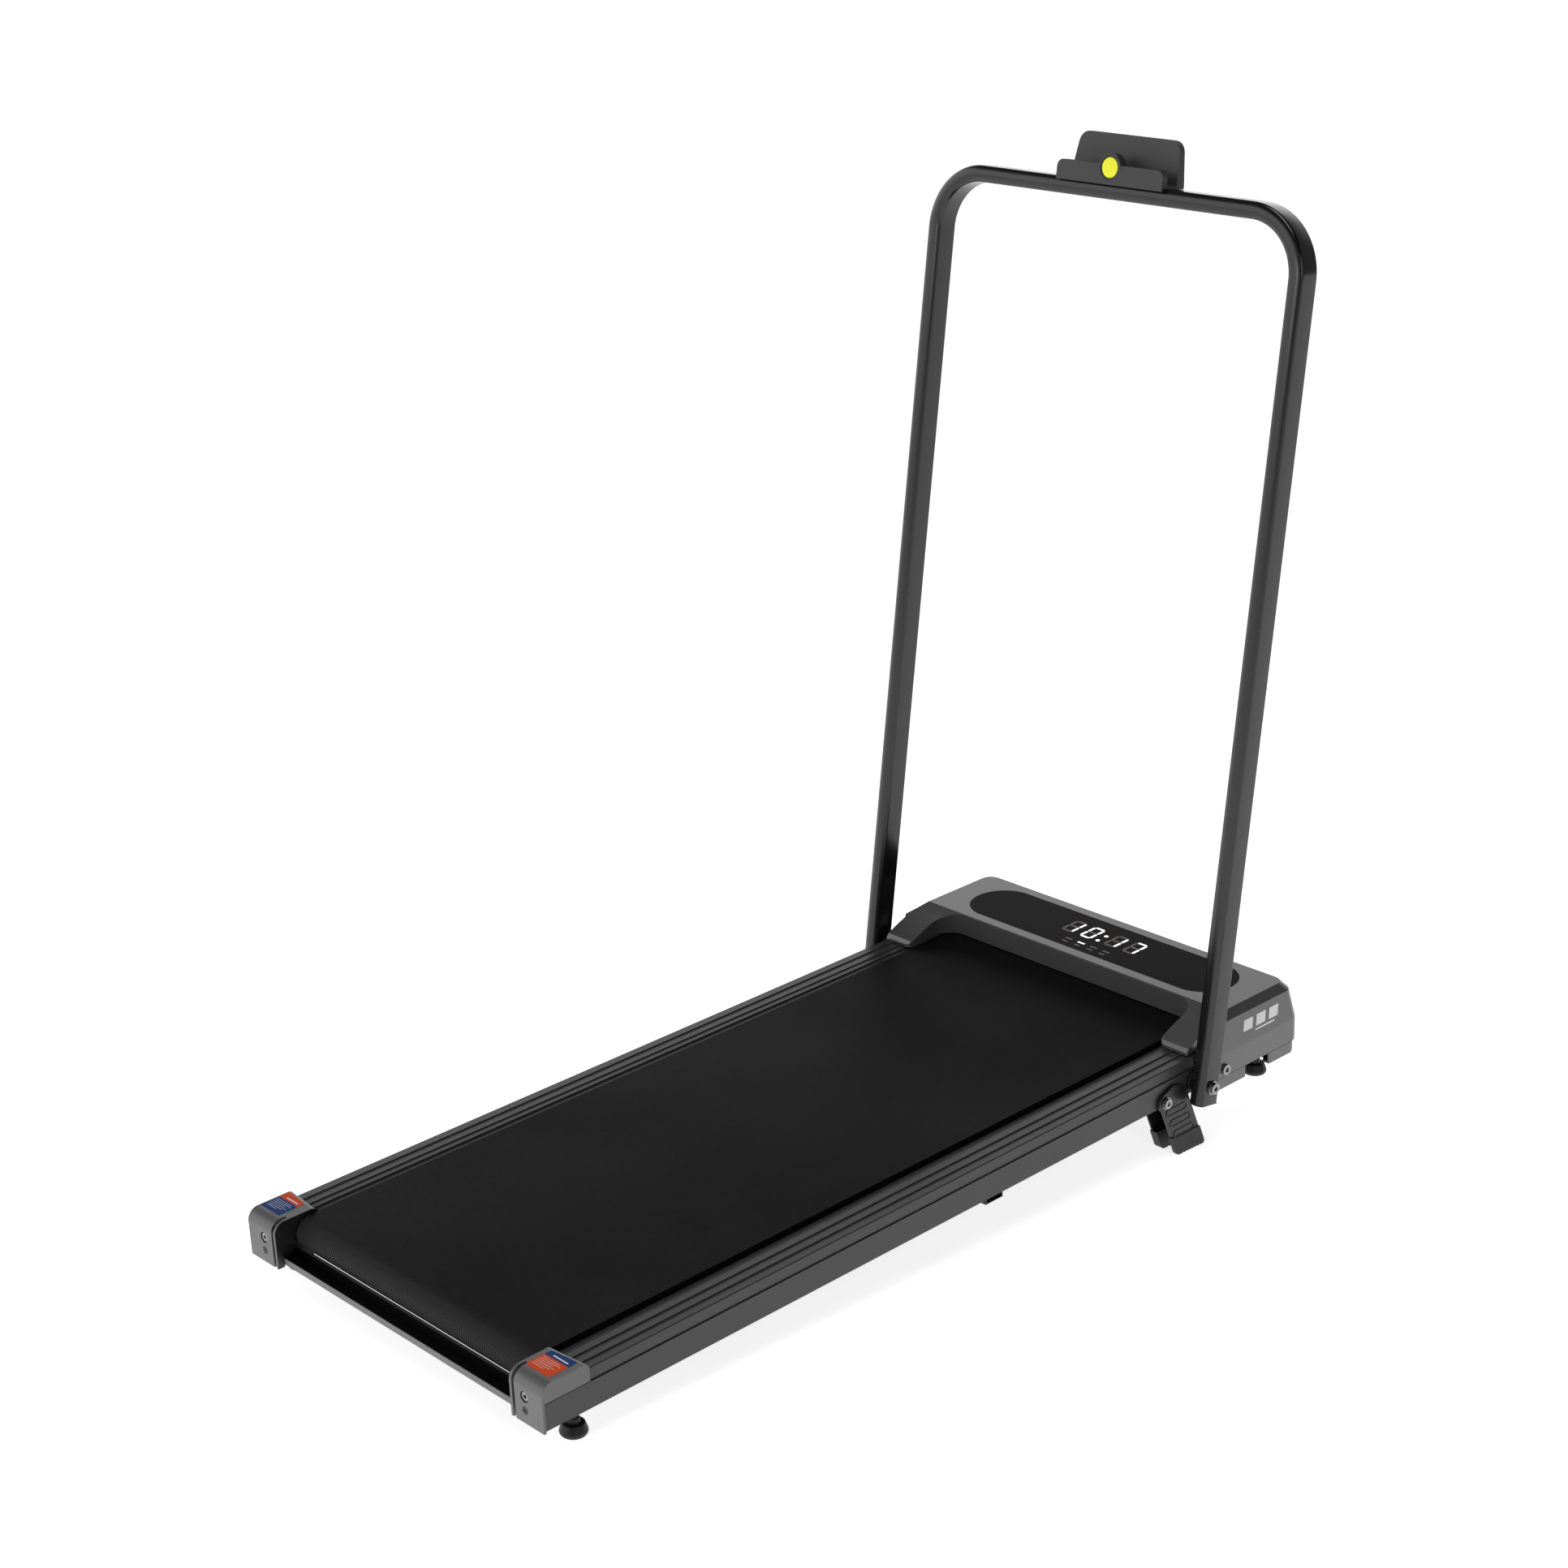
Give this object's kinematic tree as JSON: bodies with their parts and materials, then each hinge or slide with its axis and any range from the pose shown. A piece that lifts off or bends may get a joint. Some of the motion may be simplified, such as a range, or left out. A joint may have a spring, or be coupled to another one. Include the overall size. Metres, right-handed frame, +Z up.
{
  "type": "treadmill",
  "caption": "Slim walking treadmill on fold-out incline legs, with a folding handrail, a phone holder and a flush display console.",
  "frame": {"origin": "on the floor, at the centre of the overall width and length", "axes": "+Z up, +Y from the rear end of the belt towards the console, +X to the right of a user who faces the console"},
  "size_m": [0.5806, 1.18, 1.1493],
  "materials": {
    "alloy": "extruded",
    "belt": "fine woven-pattern belt",
    "black_plastic": "matte black moulding",
    "board": "plain board",
    "bright_steel": "zinc-plated",
    "button_yellow": "gloss yellow",
    "cap_plastic": "fine-grained grey moulding",
    "cast": "machined",
    "circuit": "green board",
    "cover_plastic": "fine-grained grey moulding",
    "holder_plastic": "fine-grained charcoal moulding",
    "motor_steel": "black",
    "rubber_black": "matte rubber",
    "steel_black": "satin black powder coat",
    "steel_dark": "satin charcoal powder coat",
    "steel_grey": "satin grey powder coat",
    "switch_red": "gloss red",
    "window": "polished black panel"
  },
  "bodies": {
    "frame": {"right_rail": "steel_dark", "left_rail": "steel_dark", "rear_cross_member": "steel_grey", "middle_cross_member": "steel_black", "motor_base_plate": "steel_black", "deck_board": "board", "deck_cushions": "rubber_black", "running_belt": "belt", "right_end_cap": "cap_plastic", "left_end_cap": "cap_plastic", "end_cap_screws": "steel_black", "adjuster_plates": "bright_steel", "rear_axle": "bright_steel", "front_axle": "bright_steel", "axle_blocks": "cast", "drive_belt": "rubber_black", "motor_housing": "motor_steel", "motor_cradle": "steel_grey", "control_board": "circuit", "heat_sink": "alloy", "display_board": "circuit", "display_window": "window", "console_cover": "cover_plastic", "belly_pan": "cover_plastic", "cover_bolts": "bright_steel", "pan_screws": "bright_steel", "power_inlet": "black_plastic", "switch_frame": "black_plastic", "hinge_brackets": "steel_black", "pivot_bolts": "bright_steel", "rear_foot_plates": "steel_grey", "foot_nuts": "bright_steel", "leg_bolts": "bright_steel"},
    "handrail": {"handrail": "steel_black", "pivot_sleeves": "bright_steel", "tube_end_plugs": "black_plastic", "phone_holder": "holder_plastic", "holder_screws": "bright_steel", "button_bezel": "black_plastic"},
    "start_button": {"start_button": "button_yellow"},
    "right_leg": {"right_leg": "steel_black", "right_leg_pad": "rubber_black"},
    "left_leg": {"left_leg": "steel_black", "left_leg_pad": "rubber_black"},
    "rear_right_foot": {"rear_right_foot": "rubber_black"},
    "rear_left_foot": {"rear_left_foot": "rubber_black"},
    "front_right_foot": {"front_right_foot": "rubber_black"},
    "front_left_foot": {"front_left_foot": "rubber_black"},
    "rear_roller": {"rear_roller": "steel_black", "rear_roller_bearings": "bright_steel"},
    "front_roller": {"front_roller": "steel_black", "front_roller_bearings": "bright_steel", "roller_pulley": "alloy"},
    "motor_rotor": {"motor_rotor": "bright_steel", "motor_pulley": "alloy"},
    "rocker_switch": {"rocker_switch": "switch_red"},
    "right_tension_bolt": {"right_tension_bolt": "bright_steel"},
    "left_tension_bolt": {"left_tension_bolt": "bright_steel"}
  },
  "joints": [
    {"name": "handrail_fold", "type": "hinge", "parent": "frame", "child": "handrail", "pos_m": [0, 0.39233, 0.08618], "axis": [1, 0, 0], "range_deg": [0, 95]},
    {"name": "start_button_press", "type": "slide", "parent": "handrail", "child": "start_button", "axis": [0, 0.9929, -0.1193], "range_m": [0, 0.0025], "stiffness_N_per_m": 600},
    {"name": "right_leg_fold", "type": "hinge", "parent": "frame", "child": "right_leg", "pos_m": [0.24425, 0.33954, 0.07512], "axis": [1, 0, 0], "range_deg": [-110, 0]},
    {"name": "left_leg_fold", "type": "hinge", "parent": "frame", "child": "left_leg", "pos_m": [-0.24425, 0.33954, 0.07512], "axis": [1, 0, 0], "range_deg": [-110, 0]},
    {"name": "rear_right_foot_adjust", "type": "slide", "parent": "frame", "child": "rear_right_foot", "axis": [0, 0.0419, -0.9991], "range_m": [0, 0.012]},
    {"name": "rear_left_foot_adjust", "type": "slide", "parent": "frame", "child": "rear_left_foot", "axis": [0, 0.0419, -0.9991], "range_m": [0, 0.012]},
    {"name": "front_right_foot_adjust", "type": "slide", "parent": "frame", "child": "front_right_foot", "axis": [0, 0.0419, -0.9991], "range_m": [0, 0.012]},
    {"name": "front_left_foot_adjust", "type": "slide", "parent": "frame", "child": "front_left_foot", "axis": [0, 0.0419, -0.9991], "range_m": [0, 0.012]},
    {"name": "front_roller_spin", "type": "hinge", "parent": "frame", "child": "front_roller", "pos_m": [0, 0.48747, 0.10384], "axis": [1, 0, 0], "continuous": true},
    {"name": "rear_roller_spin", "type": "hinge", "parent": "frame", "child": "rear_roller", "pos_m": [0, -0.54462, 0.06058], "axis": [1, 0, 0], "continuous": true},
    {"name": "motor_spin", "type": "hinge", "parent": "frame", "child": "motor_rotor", "pos_m": [0.125, 0.54216, 0.11233], "axis": [1, 0, 0], "continuous": true},
    {"name": "rocker_switch_tilt", "type": "hinge", "parent": "frame", "child": "rocker_switch", "pos_m": [-0.108, 0.586, 0.09566], "axis": [0, -0.0419, 0.9991], "range_deg": [-14, 0]},
    {"name": "right_tension_bolt_turn", "type": "hinge", "parent": "frame", "child": "right_tension_bolt", "pos_m": [0.227, -0.5696, 0.05953], "axis": [0, 0.9991, 0.0419], "continuous": true},
    {"name": "left_tension_bolt_turn", "type": "hinge", "parent": "frame", "child": "left_tension_bolt", "pos_m": [-0.227, -0.5696, 0.05953], "axis": [0, 0.9991, 0.0419], "continuous": true}
  ],
  "couplings": [
    {"joint": "rear_roller_spin", "follows": "front_roller_spin", "ratio": 1},
    {"joint": "motor_spin", "follows": "front_roller_spin", "ratio": 2.8447}
  ]
}
